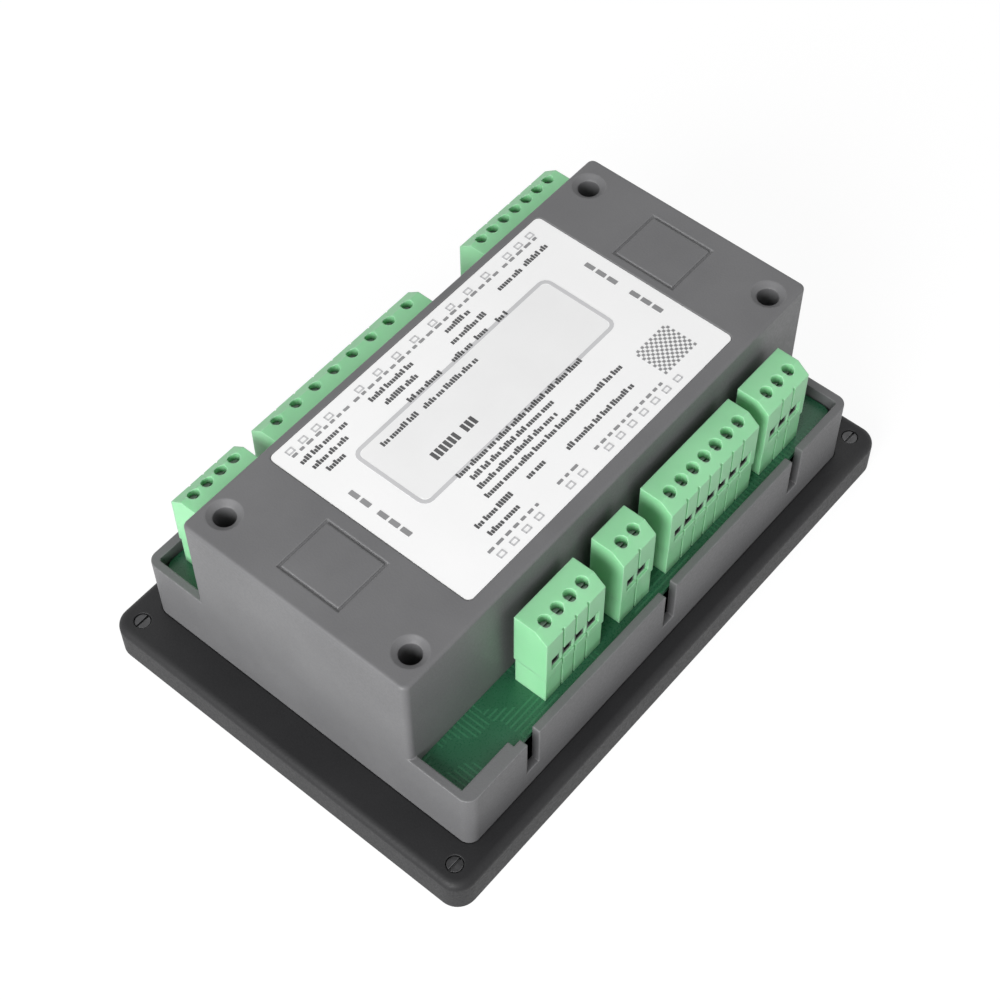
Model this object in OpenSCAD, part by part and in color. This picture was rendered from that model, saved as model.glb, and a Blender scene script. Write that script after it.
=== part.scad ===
// Genset controller for a panel cut-out, lying on its front rim with the terminal side up.
// X runs along the length, Y across the width and Z from the front rim to the rear face.
// All sizes are in millimetres.

/* [Rear housing] */
// Length of the rear housing, which passes through the panel cut-out
body_l = 169.5; // [166:0.5:180]
// Width of the raised rear block
block_w = 77; // [74:1:90]
// Height of the raised rear block above the main board
block_h = 40.5; // [35:0.5:50]
// Height of the channel rim above the main board
rim_h = 4; // [2:0.5:8]
// Wall thickness of the housing
wall = 2.5; // [2:0.1:3]
// Radius of the block's upright edges
block_edge_r = 2; // [1.5:0.1:4]
// Radius round the top of the block
top_edge_r = 1; // [0.5:0.1:1.4]
// Radius of the housing's outer corners at the base
base_edge_r = 3.5; // [3.2:0.1:6]

/* [Screw wells] */
// Distance from the end face to a well's axis
well_inset_x = 9.5; // [9:0.5:10]
// Distance from the block's side to a well's axis
well_inset_y = 6.5; // [6:0.5:9]
// Diameter of a well
well_d = 6.4; // [6:0.1:7]
// Diameter of the dished rim round a well
well_rim_d = 10; // [8:0.1:10]
// Depth of the dished rim round a well
well_rim_h = 1.2; // [0.5:0.1:2]
// Wall thickness round a well
well_wall = 1.8; // [1.2:0.1:2]
// Height of the screw seat above the main board
well_seat_h = 7; // [5:0.5:12]
// Diameter of the case screws
case_screw_d = 3; // [2.5:0.1:3.4]
// Depth of a case screw in its boss
case_screw_grip = 10; // [6:0.5:11]

/* [Rear face] */
// Length of the label
label_l = 111.5; // [90:0.5:112]
// Width of the label
label_w = 69.5; // [50:0.5:69.5]
// Corner radius of the label
label_r = 1.8; // [0.5:0.1:4]
// Place of the label's middle on the rear face
label_place = [0.8, 1]; // [-1.4:0.1:1.4]
// Thickness of the label
label_t = 0.3; // [0.2:0.05:0.3]
// Depth of the label's recess
label_recess = 0.4; // [0.4:0.05:0.6]
// Length of the knock-out outline at each end
knockout_l = 19; // [12:0.5:19]
// Width of the knock-out outline at each end
knockout_w = 21.5; // [12:0.5:40]
// Distance from the end face to the knock-out outline
knockout_inset = 6.5; // [5:0.5:7]
// Width of the knock-out's groove
groove_w = 0.9; // [0.5:0.1:1.5]
// Depth of the knock-out's groove
groove_d = 0.5; // [0.3:0.1:1]

/* [Clip slots] */
// Number of clip slots in each long wall
clip_slots = 3; // [2:1:5]
// Distance between clip slots
clip_pitch = 59; // [20:1:70]
// Width of a clip slot
clip_w = 5; // [4.6:0.1:8]
// Height of a clip slot, down from the rim
clip_h = 16; // [8:0.5:16]
// Extra thickness of the rim between the near left corner and its clip slot
rim_pad_t = 2; // [1:0.1:2.4]

/* [Front bezel] */
// Flange beyond the housing at each end
flange_x = 12.5; // [12:0.5:16]
// Flange beyond the housing at each long side
flange_y = 6.8; // [6:0.1:14]
// Thickness of the bezel, from front rim to flange back
bezel_h = 12; // [11.5:0.5:16]
// Corner radius of the bezel
bezel_r = 6; // [5:0.5:9]
// Radius round the back of the flange
bezel_edge_r = 2.4; // [1:0.1:2.6]
// Width of the rim round the front panel
bezel_rim = 3; // [2.8:0.1:4]
// Depth of the rebate that takes the foot of the rear housing
seat_sink = 0.6; // [0.4:0.1:1]
// Thickness of the flange plate
flange_t = 2.5; // [2:0.1:4]
// Width of the ledge that carries the front panel
ledge_w = 8; // [6:0.5:9]
// Thickness of the wall round the display board
sill_t = 2; // [1.5:0.1:2.5]
// Height of the collar that locates the rear housing
collar_h = 5; // [2:0.5:5]
// Thickness of the collar
collar_t = 2; // [1.2:0.1:2.5]
// Diameter of the bosses for the case screws
boss_d = 7; // [6:0.5:7]
// Distance from the bezel's end to a corner screw
corner_screw_x = 6.3; // [6:0.1:6.6]
// Distance from the bezel's side to a corner screw
corner_screw_y = 7; // [6.8:0.1:7.5]
// Diameter of the corner screws
corner_screw_d = 2.5; // [2:0.1:2.6]

/* [Front panel] */
// Depth of the panel's face below the rim
panel_recess = 1.5; // [1.2:0.1:2]
// Thickness of the panel
panel_t = 2.5; // [2.2:0.1:3]
// Thickness of the seal behind the panel
seal_t = 0.8; // [0.5:0.1:1]
// Distance from the display board's ends to the viewing opening
view_side = 27; // [26:0.5:34]
// Width of the viewing opening
view_w = 46; // [30:1:48]
// Height of the viewing opening's centre above the panel's middle
view_y = 12; // [8:0.5:13]
// Margin of the lens round the viewing opening
lens_lip = 2; // [1:0.1:3]
// Thickness of the lens
lens_t = 1; // [0.8:0.1:1.2]

/* [Keys] */
// Length of a key
key_l = 15; // [10:0.5:17]
// Width of a key
key_w = 11; // [8:0.5:12]
// Corner radius of a key
key_r = 2.5; // [1:0.1:3]
// Height of a key above the panel's face
key_proud = 0.8; // [0.4:0.1:1]
// Width of the flange behind the panel
key_flange = 1.2; // [0.8:0.1:1.4]
// Thickness of the flange behind the panel
key_flange_t = 1; // [0.8:0.1:1.2]
// Travel of a key until it closes its switch
key_travel = 0.8; // [0.3:0.1:1]
// Distance from the display board's ends to the outer keys of the row
key_side = 19; // [19:0.5:25]
// Distance of the key row below the panel's middle
key_row_y = 31; // [30:0.5:32]
// Distance from the display board's ends to the scroll keys and lights
scroll_inset = 10; // [10:0.1:10.2]
// Height of each scroll key above the panel's middle
scroll_y = [22, 2]; // [-10:0.5:24]
// Number of indicator lights
light_count = 4; // [1:1:5]
// Distance between indicator lights
light_pitch = 10; // [6:0.5:12]
// Diameter of an indicator light
light_d = 3; // [2:0.5:5]

/* [Boards] */
// Height of the main board above the flange back
board_lift = 17.9; // [16:0.1:20]
// Thickness of both boards
board_t = 1.6; // [1:0.1:2]
// Gap round the main board
board_gap = 0.5; // [0.3:0.1:1]
// Length of the display board
front_board_l = 130; // [128:1:131]
// Width of the display board
front_board_w = 86; // [84:1:88]
// Room round the display board in the bezel
front_board_gap = 4; // [2:0.5:4]
// Thickness of the display module
lcd_t = 5.5; // [5.2:0.1:7]
// Frame of the display module round the viewing opening
lcd_frame = 6; // [3:0.5:6.5]
// Distance of the spacers from the display board's edges
spacer_inset = 5; // [4:0.5:6]
// Diameter of the spacers
spacer_d = 6; // [5:0.5:6.5]
// Diameter of the display board's screws
board_screw_d = 2.5; // [2:0.1:2.6]

/* [Terminals] */
// Pole spacing of the signal terminals
pitch = 5.08; // [5:0.01:5.08]
// Pole spacing of the mains voltage terminals
wide_pitch = 7.62; // [7.5:0.01:7.62]
// Distance of each near row's middle from the right end wall
near_end = [117.25, 90.75, 57.25, 23.75]; // [12:0.25:150]
// Poles in each near row
near_poles = [4, 2, 7, 3]; // [2:1:7]
// Distance of the first far rows' middles from the left end wall
far_start = [18, 69]; // [12:0.5:150]
// Distance of the last far row's middle from the right end wall
far_end = 21; // [20:0.5:30]
// Poles in each far row
far_poles = [4, 8, 7]; // [2:1:8]
// Gap between the block and the plugs
plug_gap = 3.2; // [1:0.1:8]
// Depth of a plug, out from the block
plug_t = 11; // [10.6:0.1:14]
// Gap between the plugs and the channel's outer wall
rim_gap = 3.3; // [0.5:0.1:4]
// Height of a plug above its header
plug_h = 20.4; // [17:0.1:24]
// Overhang of a plug over its header, all round
plug_overhang = 0.3; // [0:0.1:0.6]
// Height of a header
header_h = 11; // [9:0.5:13]
// Wall thickness of a header
header_wall = 1.2; // [1:0.1:1.4]
// Floor thickness of a header
header_floor = 2.5; // [1.5:0.1:3]
// Play of a plug in its header
plug_play = 0.3; // [0.2:0.05:0.4]
// Width of a contact pin
pin_w = 1; // [0.8:0.1:1.2]
// Size of a wire entry
entry_w = 3.9; // [3:0.1:3.9]
// Height of a wire entry
entry_h = 4.8; // [3.5:0.1:5]
// Height of the wire entries above the plug's base
entry_z = 3; // [2:0.1:6]
// Diameter of a terminal screw's hole
term_hole_d = 3.6; // [3:0.1:3.8]

/* [Hidden] */
$fn = 48;
eps = 0.01;
// Play of a piece that is only located, and of a screw in its hole
loose = 0.2;
screw_play = 0.05;
hole_play = 0.3;
// A cut runs this far past the face it opens
over = 1;

// Heights through the stack, from the front rim to the rear face
panel_back = panel_recess + panel_t;
web_z = panel_back + seal_t;
foot_z = bezel_h - seat_sink;
board_z = bezel_h + board_lift;
board_top = board_z + board_t;
rim_z = board_top + rim_h;
total_d = board_top + block_h;
front_board_z = panel_back + lcd_t;
front_board_back = front_board_z + board_t;
seat_z = board_top + well_seat_h;

// Plan sizes that follow from the terminal channels
channel_w = plug_gap + plug_t + rim_gap;
body_w = block_w + 2 * (channel_w + wall);
bezel_l = body_l + 2 * flange_x;
bezel_w = body_w + 2 * flange_y;
inner_l = body_l - 2 * wall;
inner_w = body_w - 2 * wall;
panel_l = bezel_l - 2 * bezel_rim;
panel_w = bezel_w - 2 * bezel_rim;
panel_r = bezel_r - bezel_rim;
web_open_l = front_board_l + 2 * front_board_gap;
web_open_w = front_board_w + 2 * front_board_gap;
main_board_l = inner_l - 2 * board_gap;
main_board_w = inner_w - 2 * board_gap;

// Screw places and heads
well_x = body_l / 2 - well_inset_x;
well_y = block_w / 2 - well_inset_y;
well_flare = (well_rim_d - well_d) / well_rim_h;
corner_x = bezel_l / 2 - corner_screw_x;
corner_y = bezel_w / 2 - corner_screw_y;
spacer_x = front_board_l / 2 - spacer_inset;
spacer_y = front_board_w / 2 - spacer_inset;
head_ratio = 1.8;
head_h_ratio = 0.7;
slot_ratio = 0.28;
corner_head_sink = 2;
corner_screw_skin = 0.6;
spacer_skin = 1;
boss_skin = 1;

// Display window and its module
view_l = front_board_l - 2 * view_side;
lcd_l = view_l + 2 * lcd_frame + 2 * lens_lip;
lcd_w = view_w + 2 * lcd_frame;

// Places of the keys and lights on the display board
key_row_gaps = 4;
key_pitch = (front_board_l - 2 * key_side) / key_row_gaps;
scroll_x = front_board_l / 2 - scroll_inset;

// Keys: name, place along X and place along Y, where +X lies to the left for someone facing the front
KEYS = [
    ["key_stop", 2 * key_pitch, -key_row_y],
    ["key_manual", key_pitch, -key_row_y],
    ["key_auto", 0, -key_row_y],
    ["key_menu", -key_pitch, -key_row_y],
    ["key_start", -2 * key_pitch, -key_row_y],
    ["key_up", -scroll_x, scroll_y[0]],
    ["key_down", -scroll_x, scroll_y[1]]
];
key_colours = ["firebrick", "dimgray", "dimgray", "dimgray", "seagreen", "dimgray", "dimgray"];
key_pad_d = 5;
key_pad_t = 0.5;
switch_l = 6;
switch_plunger_d = 3.4;
switch_plunger_h = 0.8;
switch_gap = 0.1;
switch_top = panel_back + key_flange_t + key_pad_t + key_travel + switch_gap;

// Terminal rows: name, side of the block, place along X, poles, pole spacing
near_x = [for (d = near_end) inner_l / 2 - d];
far_x = concat([for (d = far_start) d - inner_l / 2], [inner_l / 2 - far_end]);
near_rows = [for (i = [0 : len(near_x) - 1]) [str("near_", i + 1), -1, near_x[i], near_poles[i], pitch]];
far_pitch = [pitch, wide_pitch, pitch];
far_rows = [for (i = [0 : len(far_x) - 1]) [str("far_", i + 1), 1, far_x[i], far_poles[i], far_pitch[i]]];
ROWS = concat(near_rows, far_rows);

// Terminal heights, from the main board, and depths, out from the plug's back
header_y = plug_overhang;
header_t = plug_t - 2 * plug_overhang;
socket_t = header_t - 2 * header_wall;
header_end = plug_play + header_wall;
plug_end = header_end + plug_overhang;
insert_t = socket_t - 2 * plug_play;
insert_y = header_y + header_wall + plug_play;
insert_z = header_floor + plug_play;
seat_gap = 0.1;
plug_z = header_h + seat_gap;
plug_top = plug_z + plug_h;
plug_slope_h = 3.2;
plug_slope_t = 4;
screw_back = 0.5;
screw_y = plug_t - plug_slope_t - screw_back;
entry_floor = plug_z + entry_z;
entry_back = 2.4;
funnel_lip = 0.25;
funnel_d = 0.7;
rib_groove_w = 0.7;
rib_groove_d = 0.5;
pin_y = insert_y + insert_t / 2;
pin_play = 0.25;
pin_short = 1.5;
pin_h = header_h - pin_short;
clamp_w = entry_w - 2 * loose;
clamp_h = entry_h - 2 * loose;
clamp_wall = 0.5;
clamp_front = 0.9;
term_head_d = term_hole_d - 2 * loose;
term_head_h = 1.8;
term_shank_d = 2.2;
term_sink = 3;
term_slot_w = 0.6;

// Parts on the main board
relay_size = [19, 15.4, 15.6];
relay_count = 5;
relay_pitch = 24;
relay_y = -16;
relay_draft = 0.6;
capacitor_d = 16;
capacitor_h = 26;
capacitor_places = [[-54, 16], [-34, 16]];
capacitor_bead_r = 0.6;
capacitor_bead_z = 2.7;
ct_d = 20;
ct_hole_d = 8;
ct_h = 10;
ct_places = [[-4, 18], [20, 18], [44, 18]];
chip_l = 20;
chip_t = 1.6;
chip_place = [64, 8];
link_size = [30, 6];
link_place = [-20, 0];

// Shared shapes

// Rectangle with round corners, centred on the origin
module rounded_rect(l, w, r) {
    square([l - 2 * r, w], center = true);
    square([l, w - 2 * r], center = true);
    for (sx = [-1, 1], sy = [-1, 1])
        translate([sx * (l / 2 - r), sy * (w / 2 - r)])
            circle(r);
}

// Edge section of a soft plate: upright outside, rounded at the top
module edge_section(r, h, e) {
    square([r - e, h]);
    square([r, h - e]);
    translate([r - e, h - e])
        circle(e);
}

// Plate with round plan corners of radius r and a top edge rounded by e
module soft_plate(l, w, h, r, e) {
    translate([-(l / 2 - r), -(w / 2 - r), 0])
        cube([l - 2 * r, w - 2 * r, h]);
    for (m = [0, 1]) {
        mirror([0, m, 0])
            translate([-(l / 2 - r), w / 2 - r, 0])
                rotate([90, 0, 90])
                    linear_extrude(l - 2 * r)
                        edge_section(r, h, e);
        mirror([m, 0, 0])
            translate([l / 2 - r, w / 2 - r, 0])
                rotate([90, 0, 0])
                    linear_extrude(w - 2 * r)
                        edge_section(r, h, e);
    }
    for (mx = [0, 1], my = [0, 1])
        mirror([mx, 0, 0])
            mirror([0, my, 0])
                translate([l / 2 - r, w / 2 - r, 0])
                    rotate_extrude(angle = 90)
                        edge_section(r, h, e);
}

// Four copies, one in each quarter of the plan
module four(x, y, z = 0) {
    for (sx = [-1, 1], sy = [-1, 1])
        translate([sx * x, sy * y, z])
            children();
}

// Slotted screw with its head up and its head's underside on z = 0
module slotted_screw(d, shank) {
    head_h = d * head_h_ratio;
    difference() {
        union() {
            cylinder(d = d * head_ratio, h = head_h);
            translate([0, 0, -shank])
                cylinder(d = d, h = shank + eps);
        }
        translate([-d * head_ratio, -d * slot_ratio / 2, head_h / 2])
            cube([2 * d * head_ratio, d * slot_ratio, head_h]);
    }
}

// A terminal row's own frame: Y runs outwards from the plugs' back, Z up from the main board
module at_row(row) {
    translate([row[2], 0, board_top])
        mirror([0, row[1] < 0 ? 1 : 0, 0])
            translate([0, block_w / 2 + plug_gap, 0])
                children();
}

// One copy at each pole of a row
module at_poles(row) {
    for (i = [0 : row[3] - 1])
        translate([(i - (row[3] - 1) / 2) * row[4], 0, 0])
            children();
}

// Case

module base_walls() {
    translate([0, 0, foot_z])
        linear_extrude(rim_z - foot_z)
            difference() {
                rounded_rect(body_l, body_w, base_edge_r);
                rounded_rect(inner_l, inner_w, base_edge_r - wall);
            }
}

module block_shell() {
    difference() {
        translate([0, 0, board_top])
            soft_plate(body_l, block_w, block_h, block_edge_r, top_edge_r);
        translate([-inner_l / 2, -(block_w / 2 - wall), board_top - over])
            cube([inner_l, block_w - 2 * wall, block_h - wall + over]);
    }
}

module knockout_outline() {
    translate([body_l / 2 - knockout_inset - knockout_l / 2, 0, total_d - groove_d])
        linear_extrude(groove_d + over)
            difference() {
                square([knockout_l, knockout_w], center = true);
                square([knockout_l - 2 * groove_w, knockout_w - 2 * groove_w], center = true);
            }
}

module clip_slot_row() {
    for (i = [0 : clip_slots - 1])
        translate([(i - (clip_slots - 1) / 2) * clip_pitch - clip_w / 2, inner_w / 2 - over, rim_z - clip_h])
            cube([clip_w, wall + 2 * over, clip_h + over]);
}

// Thicker rim in the near left corner, standing on the main board
module rim_pad() {
    pad_end = -(clip_slots - 1) / 2 * clip_pitch - clip_w;
    translate([-inner_l / 2 - eps, -inner_w / 2 - eps, board_top])
        cube([pad_end + inner_l / 2 + eps, rim_pad_t + eps, rim_h]);
}

module rear_housing() {
    color([0.44, 0.44, 0.45])
        difference() {
            union() {
                base_walls();
                rim_pad();
                block_shell();
                four(well_x, well_y, board_top)
                    cylinder(d = well_d + 2 * well_wall, h = block_h - wall / 2);
            }
            four(well_x, well_y, seat_z)
                cylinder(d = well_d, h = total_d);
            four(well_x, well_y, total_d - well_rim_h)
                cylinder(d1 = well_d, d2 = well_d + well_flare * (well_rim_h + over), h = well_rim_h + over);
            four(well_x, well_y, board_top - over)
                cylinder(d = case_screw_d + hole_play, h = total_d);
            translate([label_place[0], label_place[1], total_d - label_recess])
                linear_extrude(label_recess + over)
                    rounded_rect(label_l + 2 * loose, label_w + 2 * loose, label_r + loose);
            for (m = [0, 1]) {
                mirror([m, 0, 0])
                    knockout_outline();
                mirror([0, m, 0])
                    clip_slot_row();
            }
        }
}

module rear_label() {
    color("white")
        translate([label_place[0], label_place[1], total_d - label_recess])
            linear_extrude(label_t)
                rounded_rect(label_l, label_w, label_r);
}

module collar() {
    translate([0, 0, foot_z - eps])
        linear_extrude(seat_sink + collar_h + eps)
            difference() {
                rounded_rect(inner_l - 2 * loose, inner_w - 2 * loose, base_edge_r);
                square([inner_l - 2 * (loose + collar_t), inner_w - 2 * (loose + collar_t)], center = true);
            }
}

// Hollow behind the panel, between the ledge that carries it and the wall round the display board
module front_pocket() {
    translate([0, 0, web_z - over])
        linear_extrude(bezel_h - flange_t - web_z + over)
            difference() {
                square([panel_l - 2 * ledge_w, panel_w - 2 * ledge_w], center = true);
                square([web_open_l + 2 * sill_t, web_open_w + 2 * sill_t], center = true);
            }
}

module front_bezel() {
    color([0.16, 0.16, 0.17])
        difference() {
            union() {
                difference() {
                    soft_plate(bezel_l, bezel_w, bezel_h, bezel_r, bezel_edge_r);
                    translate([0, 0, -over])
                        linear_extrude(web_z + over)
                            rounded_rect(panel_l, panel_w, panel_r);
                    translate([0, 0, bezel_h / 2])
                        cube([web_open_l, web_open_w, 2 * bezel_h], center = true);
                    front_pocket();
                    translate([0, 0, foot_z])
                        linear_extrude(seat_sink + over)
                            rounded_rect(body_l + 2 * loose, body_w + 2 * loose, base_edge_r + loose);
                }
                collar();
                four(well_x, well_y, web_z)
                    cylinder(d = boss_d, h = board_z - web_z);
            }
            four(well_x, well_y, seat_z - well_seat_h - board_t - case_screw_grip - boss_skin)
                cylinder(d = case_screw_d + 2 * screw_play, h = total_d);
            four(corner_x, corner_y, 0)
                cylinder(d = corner_screw_d + hole_play, h = total_d);
            four(corner_x, corner_y, bezel_h - corner_head_sink)
                cylinder(d = corner_screw_d * head_ratio + 2 * hole_play, h = total_d);
        }
}

module front_seal() {
    color([0.08, 0.08, 0.08])
        translate([0, 0, panel_back])
            linear_extrude(seal_t)
                difference() {
                    rounded_rect(panel_l - 2 * loose, panel_w - 2 * loose, panel_r - loose);
                    square([panel_l - 2 * ledge_w, panel_w - 2 * ledge_w], center = true);
                    for (sx = [-1, 1], sy = [-1, 1])
                        translate([sx * corner_x, sy * corner_y])
                            circle(d = corner_screw_d + hole_play);
                }
}

module front_panel() {
    color([0.22, 0.22, 0.24])
        difference() {
            translate([0, 0, panel_recess])
                linear_extrude(panel_t)
                    difference() {
                        rounded_rect(panel_l - 2 * loose, panel_w - 2 * loose, panel_r - loose);
                        translate([0, view_y])
                            square([view_l, view_w], center = true);
                        for (k = KEYS)
                            translate([k[1], k[2]])
                                rounded_rect(key_l + 2 * hole_play, key_w + 2 * hole_play, key_r + hole_play);
                        indicator_places()
                            circle(d = light_d + 2 * loose);
                    }
            translate([0, view_y, panel_recess])
                cube([view_l + 2 * lens_lip, view_w + 2 * lens_lip, 2 * lens_t], center = true);
            four(corner_x, corner_y, panel_recess + corner_screw_skin)
                cylinder(d = corner_screw_d + 2 * screw_play, h = panel_t);
        }
}

module display_lens() {
    color([0.75, 0.8, 0.8, 0.4])
        translate([0, view_y, panel_recess + lens_t / 2])
            cube([view_l + 2 * (lens_lip - loose), view_w + 2 * (lens_lip - loose), lens_t], center = true);
}

// Front electronics

module indicator_places() {
    for (i = [0 : light_count - 1])
        translate([scroll_x, view_y + (i - (light_count - 1) / 2) * light_pitch])
            children();
}

module lcd_module() {
    color([0.55, 0.6, 0.5])
        translate([-lcd_l / 2, view_y - lcd_w / 2, panel_back])
            cube([lcd_l, lcd_w, lcd_t]);
}

module display_board() {
    color([0.12, 0.36, 0.24])
        difference() {
            translate([-front_board_l / 2, -front_board_w / 2, front_board_z])
                cube([front_board_l, front_board_w, board_t]);
            four(spacer_x, spacer_y, front_board_z - over)
                cylinder(d = board_screw_d + hole_play, h = board_t + 2 * over);
        }
}

module key_switches() {
    color([0.1, 0.1, 0.1])
        for (k = KEYS)
            translate([k[1], k[2], switch_top]) {
                cylinder(d = switch_plunger_d, h = front_board_z - switch_top);
                translate([-switch_l / 2, -switch_l / 2, switch_plunger_h])
                    cube([switch_l, switch_l, front_board_z - switch_top - switch_plunger_h]);
            }
}

module indicator_lights() {
    color([0.9, 0.9, 0.85])
        translate([0, 0, panel_recess])
            indicator_places()
                cylinder(d = light_d, h = front_board_z - panel_recess);
}

module key(k, colour) {
    color(colour)
        translate([k[1], k[2], panel_recess - key_proud]) {
            linear_extrude(key_proud + panel_t + eps)
                rounded_rect(key_l, key_w, key_r);
            translate([0, 0, key_proud + panel_t])
                linear_extrude(key_flange_t)
                    rounded_rect(key_l + 2 * key_flange, key_w + 2 * key_flange, key_r + key_flange);
            translate([0, 0, key_proud + panel_t + key_flange_t - eps])
                cylinder(d = key_pad_d, h = key_pad_t + eps);
        }
}

module board_spacers() {
    color("goldenrod")
        four(spacer_x, spacer_y, panel_back)
            difference() {
                cylinder(d = spacer_d, h = lcd_t);
                translate([0, 0, spacer_skin])
                    cylinder(d = board_screw_d + 2 * screw_play, h = lcd_t);
            }
}

module board_screws() {
    color("silver")
        four(spacer_x, spacer_y, front_board_back)
            slotted_screw(board_screw_d, board_t + lcd_t - 2 * spacer_skin);
}

module board_link() {
    color([0.1, 0.1, 0.1])
        translate([link_place[0] - link_size[0] / 2, link_place[1] - link_size[1] / 2, front_board_back])
            cube([link_size[0], link_size[1], board_z - front_board_back]);
}

// Main board and what stands on it

module main_board() {
    color([0.1, 0.33, 0.22])
        difference() {
            translate([0, 0, board_z])
                linear_extrude(board_t)
                    rounded_rect(main_board_l, main_board_w, base_edge_r);
            four(well_x, well_y, board_z - over)
                cylinder(d = case_screw_d + 2 * hole_play, h = board_t + 2 * over);
        }
}

module relays() {
    color([0.15, 0.3, 0.5])
        for (i = [0 : relay_count - 1])
            translate([(i - (relay_count - 1) / 2) * relay_pitch, relay_y, board_top]) {
                translate([-relay_size[0] / 2, -relay_size[1] / 2, 0])
                    cube([relay_size[0], relay_size[1], relay_size[2] - relay_draft]);
                translate([-relay_size[0] / 2 + relay_draft, -relay_size[1] / 2 + relay_draft, 0])
                    cube([relay_size[0] - 2 * relay_draft, relay_size[1] - 2 * relay_draft, relay_size[2]]);
            }
}

module capacitors() {
    color([0.2, 0.2, 0.25])
        for (p = capacitor_places)
            translate([p[0], p[1], board_top])
                difference() {
                    cylinder(d = capacitor_d, h = capacitor_h);
                    translate([0, 0, capacitor_bead_z])
                        rotate_extrude()
                            translate([capacitor_d / 2, 0])
                                circle(capacitor_bead_r);
                }
}

module current_transformers() {
    color([0.3, 0.3, 0.32])
        for (p = ct_places)
            translate([p[0], p[1], board_top])
                rotate_extrude()
                    translate([ct_hole_d / 2, 0])
                        square([(ct_d - ct_hole_d) / 2, ct_h]);
}

module processor() {
    color([0.08, 0.08, 0.08])
        translate([chip_place[0] - chip_l / 2, chip_place[1] - chip_l / 2, board_top])
            cube([chip_l, chip_l, chip_t]);
}

module case_screws() {
    color("silver")
        four(well_x, well_y, seat_z)
            slotted_screw(case_screw_d, well_seat_h + board_t + case_screw_grip);
}

module corner_screws() {
    color("silver")
        four(corner_x, corner_y, bezel_h - corner_head_sink)
            slotted_screw(corner_screw_d, bezel_h - corner_head_sink - panel_recess - 2 * corner_screw_skin);
}

// Terminals

module contact_pins() {
    color("silver")
        for (row = ROWS)
            at_row(row)
                at_poles(row)
                    translate([-pin_w / 2, pin_y - pin_w / 2, 0])
                        cube([pin_w, pin_w, pin_h]);
}

// Upright grooves between the poles, in a face at depth y
module rib_grooves(row, y) {
    for (i = [1 : row[3] - 1])
        translate([(i - row[3] / 2) * row[4] - rib_groove_w / 2, y - rib_groove_d, -over])
            cube([rib_groove_w, plug_t, plug_top + 2 * over]);
}

module header(row) {
    length = row[3] * row[4] + 2 * header_end;
    color([0.4, 0.68, 0.47])
        at_row(row)
            difference() {
                translate([-length / 2, header_y, 0])
                    cube([length, header_t, header_h]);
                translate([-length / 2 + header_wall, header_y + header_wall, header_floor])
                    cube([length - 2 * header_wall, socket_t, header_h]);
                at_poles(row)
                    translate([-pin_w / 2 - screw_play, pin_y - pin_w / 2 - screw_play, -over])
                        cube([pin_w + 2 * screw_play, pin_w + 2 * screw_play, header_h]);
                rib_grooves(row, header_y + header_t);
            }
}

module plug_section() {
    polygon([
        [0, plug_z],
        [plug_t, plug_z],
        [plug_t, plug_top - plug_slope_h],
        [plug_t - plug_slope_t, plug_top],
        [0, plug_top]
    ]);
}

module wire_entry() {
    translate([-entry_w / 2, entry_back, entry_floor])
        cube([entry_w, plug_t, entry_h]);
    translate([-entry_w / 2 - funnel_lip, plug_t - funnel_d, entry_floor - funnel_lip])
        cube([entry_w + 2 * funnel_lip, plug_t, entry_h + 2 * funnel_lip]);
}

module pin_socket() {
    socket_w = pin_w + 2 * pin_play;
    translate([-socket_w / 2, pin_y - socket_w / 2, 0])
        cube([socket_w, socket_w, pin_h + pin_play]);
}

module plug(row) {
    poles_l = row[3] * row[4];
    color([0.56, 0.84, 0.62])
        at_row(row)
            difference() {
                union() {
                    translate([-poles_l / 2 - plug_end, 0, 0])
                        rotate([90, 0, 90])
                            linear_extrude(poles_l + 2 * plug_end)
                                plug_section();
                    translate([-poles_l / 2, insert_y, insert_z])
                        cube([poles_l, insert_t, plug_z - insert_z + eps]);
                }
                at_poles(row) {
                    wire_entry();
                    pin_socket();
                    translate([0, screw_y, entry_floor + entry_h / 2])
                        cylinder(d = term_hole_d, h = plug_h);
                }
                rib_grooves(row, plug_t);
            }
}

module plug_screws(row) {
    clamp_top = entry_floor + clamp_h;
    head_z = plug_top - term_sink - term_head_h;
    color("silver")
        at_row(row)
            at_poles(row)
                translate([0, screw_y, head_z])
                    difference() {
                        union() {
                            cylinder(d = term_head_d, h = term_head_h);
                            translate([0, 0, clamp_top - head_z])
                                cylinder(d = term_shank_d, h = head_z - clamp_top + eps);
                        }
                        translate([-term_head_d, -term_slot_w / 2, term_head_h / 2])
                            cube([2 * term_head_d, term_slot_w, term_head_h]);
                    }
}

module plug_clamps(row) {
    clamp_l = plug_t - entry_back - clamp_front - loose;
    color("gainsboro")
        at_row(row)
            at_poles(row)
                translate([-clamp_w / 2, entry_back + loose, entry_floor])
                    difference() {
                        cube([clamp_w, clamp_l, clamp_h]);
                        translate([clamp_wall, -over, clamp_wall])
                            cube([clamp_w - 2 * clamp_wall, clamp_l + 2 * over, clamp_h - 2 * clamp_wall]);
                    }
}

rear_housing();
rear_label();
front_bezel();
front_seal();
front_panel();
display_lens();
lcd_module();
display_board();
key_switches();
indicator_lights();
board_spacers();
board_screws();
board_link();
main_board();
relays();
capacitors();
current_transformers();
processor();
case_screws();
corner_screws();
contact_pins();
for (i = [0 : len(KEYS) - 1])
    key(KEYS[i], key_colours[i]);
for (r = ROWS) {
    header(r);
    plug(r);
    plug_screws(r);
    plug_clamps(r);
}
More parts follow.
